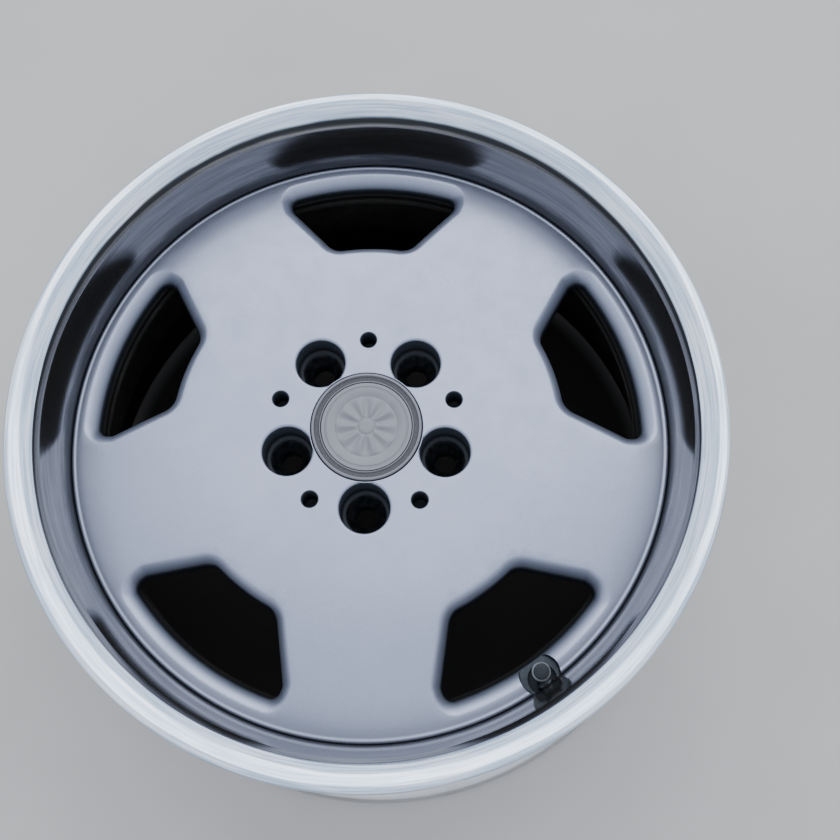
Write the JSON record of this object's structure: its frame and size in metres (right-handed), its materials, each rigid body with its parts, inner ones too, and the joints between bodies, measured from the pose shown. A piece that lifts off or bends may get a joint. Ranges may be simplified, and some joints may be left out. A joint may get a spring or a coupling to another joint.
{
  "type": "forged racing wheel rim",
  "caption": "Three-piece forged wheel rim with a windowed centre disc, a deep polished lip, hidden rim bolts, a snap-in centre cap and an angled clamp-in valve.",
  "frame": {"origin": "centre of the circle on which the inboard flange rests", "axes": "+Z along the wheel's axis, towards the outboard side; +Y towards one window"},
  "size_m": [0.4712, 0.4712, 0.242],
  "materials": {
    "silver_paint": "satin silver paint over forged aluminium",
    "polished_rim": "mirror polished with fine circular marks",
    "machined_rim": "spun and turned, clear coated",
    "cap_paint": "satin silver grey",
    "bolt_zinc": "zinc plated",
    "spring_steel": "drawn wire",
    "brass": "turned",
    "valve_nickel": "dark nickel plated brass",
    "seal_rubber": "moulded",
    "valve_cap_plastic": "moulded, slightly worn",
    "sealant": "cured silicone"
  },
  "bodies": {
    "wheel": {"centre_disc": "silver_paint", "outer_rim_half": "polished_rim", "inner_rim_half": "machined_rim", "sealant_bead": "sealant", "rim_bolt_01": "bolt_zinc", "rim_bolt_02": "bolt_zinc", "rim_bolt_03": "bolt_zinc", "rim_bolt_04": "bolt_zinc", "rim_bolt_05": "bolt_zinc", "rim_bolt_06": "bolt_zinc", "rim_bolt_07": "bolt_zinc", "rim_bolt_08": "bolt_zinc", "rim_bolt_09": "bolt_zinc", "rim_bolt_10": "bolt_zinc", "rim_bolt_11": "bolt_zinc", "rim_bolt_12": "bolt_zinc", "rim_bolt_13": "bolt_zinc", "rim_bolt_14": "bolt_zinc", "rim_bolt_15": "bolt_zinc", "rim_bolt_16": "bolt_zinc", "rim_bolt_17": "bolt_zinc", "rim_bolt_18": "bolt_zinc", "rim_bolt_19": "bolt_zinc", "rim_bolt_20": "bolt_zinc", "rim_bolt_21": "bolt_zinc", "rim_bolt_22": "bolt_zinc", "rim_bolt_23": "bolt_zinc", "rim_bolt_24": "bolt_zinc", "rim_bolt_25": "bolt_zinc", "valve_stem": "valve_nickel", "valve_grommet": "seal_rubber", "valve_washer": "bolt_zinc", "valve_nut": "bolt_zinc", "valve_core_body": "brass", "valve_core_spring": "spring_steel"},
    "centre_cap": {"cap_housing": "cap_paint", "cap_badge": "cap_paint", "cap_retaining_ring": "spring_steel"},
    "core_pin": {"valve_core_pin": "brass"},
    "valve_seal": {"valve_cap_seal": "seal_rubber"},
    "valve_cap": {"valve_cap": "valve_cap_plastic"}
  },
  "joints": [
    {"name": "cap_pull", "type": "slide", "parent": "wheel", "child": "centre_cap", "axis": [0, 0, 1], "range_m": [0, 0.07]},
    {"name": "core_pin_press", "type": "slide", "parent": "wheel", "child": "core_pin", "axis": [0, 0, -1], "range_m": [0, 0.0015], "stiffness_N_per_m": 400, "springref_m": -0.001, "deforming": ["valve_core_spring"]},
    {"name": "valve_cap_lift", "type": "slide", "parent": "wheel", "child": "valve_seal", "axis": [0, 0, 1], "range_m": [0, 0.00476]},
    {"name": "valve_cap_turn", "type": "hinge", "parent": "valve_seal", "child": "valve_cap", "pos_m": [0.11383, -0.16017, 0.2], "axis": [0, 0, 1], "range_deg": [0, 2160]}
  ],
  "couplings": [
    {"joint": "valve_cap_turn", "follows": "valve_cap_lift", "rad_per_m": 7913.3}
  ]
}
